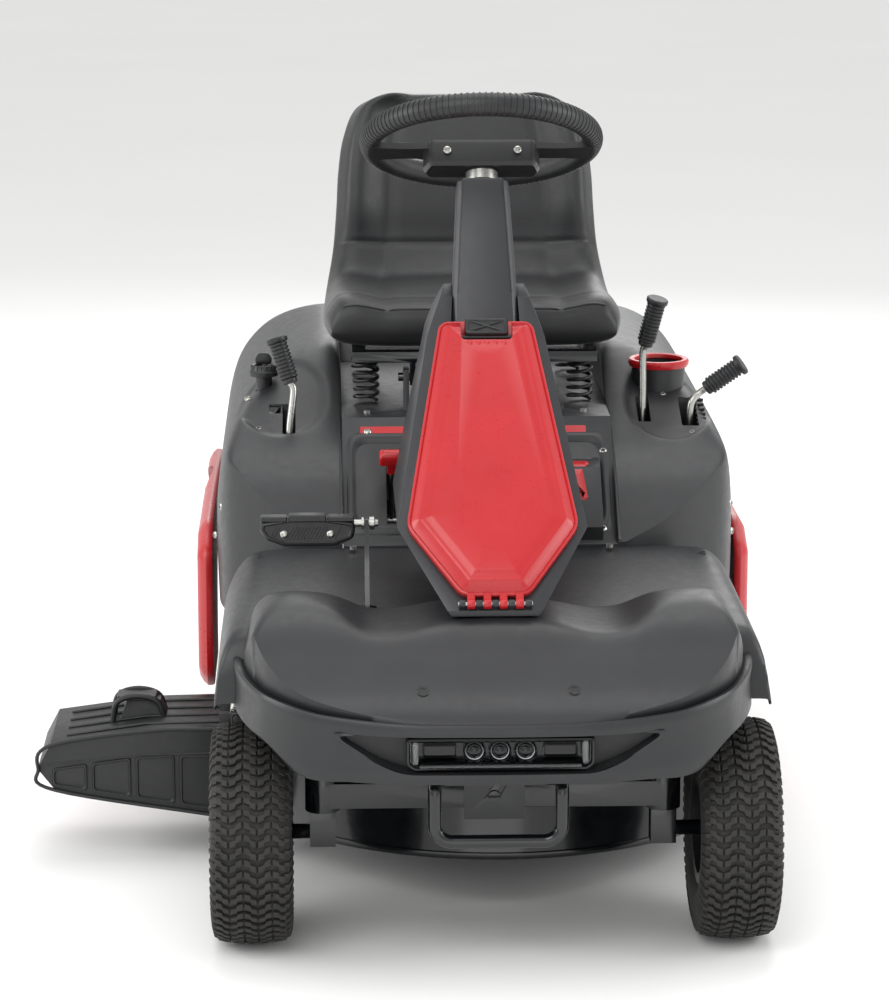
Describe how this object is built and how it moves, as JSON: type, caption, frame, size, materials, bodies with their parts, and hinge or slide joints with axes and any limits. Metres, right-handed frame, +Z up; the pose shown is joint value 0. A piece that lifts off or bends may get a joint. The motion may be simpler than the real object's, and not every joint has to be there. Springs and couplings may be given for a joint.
{
  "type": "riding lawn mower",
  "caption": "Small riding lawn mower with steered front wheels, high-back seat, hinged console lid, levers and a mid-mounted side-discharge deck.",
  "frame": {"origin": "on the ground, under the middle of the whole machine's box, which the side chute widens to the machine's right", "axes": "+Z up, -Y towards the front of the machine, +X towards the machine's left"},
  "size_m": [0.988, 1.39, 1.0471],
  "materials": {
    "moulded_charcoal": "satin",
    "console_grey": "satin",
    "red_plastic": "satin",
    "black_plastic": "satin",
    "gloss_black_plastic": "gloss",
    "clear_lens": "gloss",
    "black_paint": "gloss",
    "zinc_steel": "satin",
    "cast_alloy": "matte",
    "tyre_rubber": "matte",
    "belt_rubber": "matte",
    "rim_paint": "satin",
    "seat_vinyl": "satin",
    "tank_plastic": "matte",
    "blade_steel": "satin"
  },
  "bodies": {
    "frame": {"main_frame": "black_paint", "front_cowl": "moulded_charcoal", "front_bumper": "moulded_charcoal", "headlight_housing": "gloss_black_plastic", "headlight_lens": "clear_lens", "front_bar": "black_paint", "floor_pan": "moulded_charcoal", "seat_riser": "moulded_charcoal", "left_fender": "moulded_charcoal", "right_fender": "moulded_charcoal", "side_panels": "red_plastic", "rear_cover": "moulded_charcoal", "console_body": "console_grey", "steering_tower": "console_grey", "fuel_tank": "tank_plastic", "body_screws": "zinc_steel", "engine_block": "cast_alloy", "engine_shroud": "black_plastic", "transaxle": "cast_alloy", "lever_pivots": "zinc_steel", "ignition_switch": "black_plastic", "cup_holder": "red_plastic", "drive_belt": "belt_rubber", "blade_belt": "belt_rubber"},
    "lid": {"console_lid": "red_plastic"},
    "latch": {"lid_latch": "black_plastic"},
    "fuel_cap": {"fuel_cap": "black_plastic"},
    "steering_column": {"steering_wheel": "black_plastic", "steering_shaft": "zinc_steel"},
    "lower_shaft": {"lower_shaft": "zinc_steel"},
    "sector": {"steering_sector": "zinc_steel"},
    "axle": {"front_axle": "black_paint"},
    "left_knuckle": {"left_spindle": "black_paint"},
    "right_knuckle": {"right_spindle": "black_paint"},
    "drag_link": {"drag_link": "zinc_steel"},
    "tie_rod": {"tie_rod": "zinc_steel"},
    "front_left_wheel": {"front_left_tyre": "tyre_rubber", "front_left_rim": "rim_paint"},
    "front_right_wheel": {"front_right_tyre": "tyre_rubber", "front_right_rim": "rim_paint"},
    "rear_left_wheel": {"rear_left_tyre": "tyre_rubber", "rear_left_rim": "rim_paint"},
    "rear_right_wheel": {"rear_right_tyre": "tyre_rubber", "rear_right_rim": "rim_paint"},
    "deck": {"deck_shell": "black_paint", "spindle_housing": "cast_alloy"},
    "blade": {"mower_blade": "blade_steel", "blade_spindle": "zinc_steel"},
    "chute": {"discharge_chute": "black_plastic"},
    "crankshaft": {"crank_pulley": "zinc_steel"},
    "input_shaft": {"transaxle_pulley": "zinc_steel"},
    "shift_lever": {"shift_lever": "black_plastic"},
    "blade_lever": {"blade_lever": "black_plastic"},
    "lift_lever": {"lift_lever": "black_plastic"},
    "pedal": {"brake_pedal": "black_plastic"},
    "parking_lever": {"parking_lever": "red_plastic"},
    "ignition_key": {"ignition_key": "black_plastic"},
    "seat": {"seat_cushion": "seat_vinyl", "seat_pan": "black_paint"}
  },
  "joints": [
    {"name": "steering_turn", "type": "hinge", "parent": "frame", "child": "steering_column", "pos_m": [0.104, -0.13, 0.968], "axis": [0, 0.4289, 0.9033], "range_deg": [-170, 170]},
    {"name": "lower_shaft_turn", "type": "hinge", "parent": "frame", "child": "lower_shaft", "pos_m": [0.104, -0.4282, 0.34], "axis": [0, 0, 1], "range_deg": [-170, 170]},
    {"name": "sector_turn", "type": "hinge", "parent": "frame", "child": "sector", "pos_m": [0.104, -0.3382, 0.222], "axis": [0, 0, 1], "range_deg": [-28.33, 28.33]},
    {"name": "axle_rock", "type": "hinge", "parent": "frame", "child": "axle", "pos_m": [0.104, -0.5, 0.195], "axis": [0, 1, 0], "range_deg": [-1.5, 1.5]},
    {"name": "left_kingpin", "type": "hinge", "parent": "axle", "child": "left_knuckle", "pos_m": [0.319, -0.5, 0.19], "axis": [0, 0, 1], "range_deg": [-28.33, 28.33]},
    {"name": "right_kingpin", "type": "hinge", "parent": "axle", "child": "right_knuckle", "pos_m": [-0.111, -0.5, 0.19], "axis": [0, 0, 1], "range_deg": [-28.33, 28.33]},
    {"name": "drag_link_turn", "type": "hinge", "parent": "left_knuckle", "child": "drag_link", "pos_m": [0.319, -0.41, 0.2333], "axis": [0, 0, 1], "range_deg": [-28.33, 28.33]},
    {"name": "tie_rod_turn", "type": "hinge", "parent": "left_knuckle", "child": "tie_rod", "pos_m": [0.319, -0.41, 0.175], "axis": [0, 0, 1], "range_deg": [-28.33, 28.33]},
    {"name": "front_left_roll", "type": "hinge", "parent": "left_knuckle", "child": "front_left_wheel", "pos_m": [0.408, -0.5, 0.14], "axis": [1, 0, 0], "continuous": true},
    {"name": "front_right_roll", "type": "hinge", "parent": "right_knuckle", "child": "front_right_wheel", "pos_m": [-0.2, -0.5, 0.14], "axis": [1, 0, 0], "continuous": true},
    {"name": "rear_left_roll", "type": "hinge", "parent": "frame", "child": "rear_left_wheel", "pos_m": [0.384, 0.5, 0.1905], "axis": [1, 0, 0], "continuous": true},
    {"name": "rear_right_roll", "type": "hinge", "parent": "frame", "child": "rear_right_wheel", "pos_m": [-0.176, 0.5, 0.1905], "axis": [1, 0, 0], "continuous": true},
    {"name": "deck_lift", "type": "slide", "parent": "frame", "child": "deck", "axis": [0, 0, 1], "range_m": [-0.025, 0.025], "deforming": ["blade_belt"]},
    {"name": "blade_spin", "type": "hinge", "parent": "deck", "child": "blade", "pos_m": [0.124, -0.02, 0.08], "axis": [0, 0, 1], "continuous": true},
    {"name": "chute_lift", "type": "hinge", "parent": "deck", "child": "chute", "pos_m": [-0.226, -0.104, 0.197], "axis": [0, 1, 0], "range_deg": [0, 70]},
    {"name": "crankshaft_spin", "type": "hinge", "parent": "frame", "child": "crankshaft", "pos_m": [0.104, 0.25, 0.23], "axis": [0, 0, 1], "continuous": true},
    {"name": "input_shaft_spin", "type": "hinge", "parent": "frame", "child": "input_shaft", "pos_m": [0.104, 0.43, 0.243], "axis": [0, 0, 1], "continuous": true},
    {"name": "lid_open", "type": "hinge", "parent": "frame", "child": "lid", "pos_m": [0.104, -0.54942, 0.44606], "axis": [1, 0, 0], "range_deg": [0, 100]},
    {"name": "latch_press", "type": "hinge", "parent": "lid", "child": "latch", "pos_m": [0.104, -0.29686, 0.73549], "axis": [1, 0, 0], "range_deg": [0, 20], "stiffness_Nm_per_rad": 0.4, "springref_deg": -11.46},
    {"name": "fuel_cap_turn", "type": "hinge", "parent": "frame", "child": "fuel_cap", "pos_m": [0.162, -0.45715, 0.52424], "axis": [0, -0.7361, 0.6769], "range_deg": [0, 90]},
    {"name": "shift_lever_turn", "type": "hinge", "parent": "frame", "child": "shift_lever", "pos_m": [-0.154, 0.03, 0.47], "axis": [-1, 0, 0], "range_deg": [0, 18]},
    {"name": "blade_lever_turn", "type": "hinge", "parent": "frame", "child": "blade_lever", "pos_m": [0.341, 0.072, 0.47], "axis": [1, 0, 0], "range_deg": [0, 18]},
    {"name": "lift_lever_turn", "type": "hinge", "parent": "frame", "child": "lift_lever", "pos_m": [0.404, 0.072, 0.47], "axis": [-1, 0, 0], "range_deg": [-10, 10]},
    {"name": "pedal_press", "type": "hinge", "parent": "frame", "child": "pedal", "pos_m": [-0.052, -0.402, 0.33], "axis": [1, 0, 0], "range_deg": [0, 16], "stiffness_Nm_per_rad": 12, "springref_deg": -20.05},
    {"name": "parking_lever_turn", "type": "hinge", "parent": "frame", "child": "parking_lever", "pos_m": [-0.0135, -0.015, 0.43], "axis": [1, 0, 0], "range_deg": [0, 28]},
    {"name": "key_turn", "type": "hinge", "parent": "frame", "child": "ignition_key", "pos_m": [-0.19, 0.147, 0.6], "axis": [0, 0, -1], "range_deg": [0, 60]},
    {"name": "seat_tilt", "type": "hinge", "parent": "frame", "child": "seat", "pos_m": [0.104, 0.062, 0.618], "axis": [1, 0, 0], "range_deg": [0, 55]}
  ],
  "couplings": [
    {"joint": "lower_shaft_turn", "follows": "steering_turn", "ratio": 1},
    {"joint": "sector_turn", "follows": "steering_turn", "ratio": 0.16667},
    {"joint": "left_kingpin", "follows": "steering_turn", "ratio": 0.16667},
    {"joint": "right_kingpin", "follows": "steering_turn", "ratio": 0.16667},
    {"joint": "drag_link_turn", "follows": "steering_turn", "ratio": -0.16667},
    {"joint": "tie_rod_turn", "follows": "steering_turn", "ratio": -0.16667},
    {"joint": "lift_lever_turn", "follows": "deck_lift", "rad_per_m": 6.9813},
    {"joint": "blade_spin", "follows": "crankshaft_spin", "ratio": 0.91667},
    {"joint": "input_shaft_spin", "follows": "crankshaft_spin", "ratio": 0.73333}
  ]
}
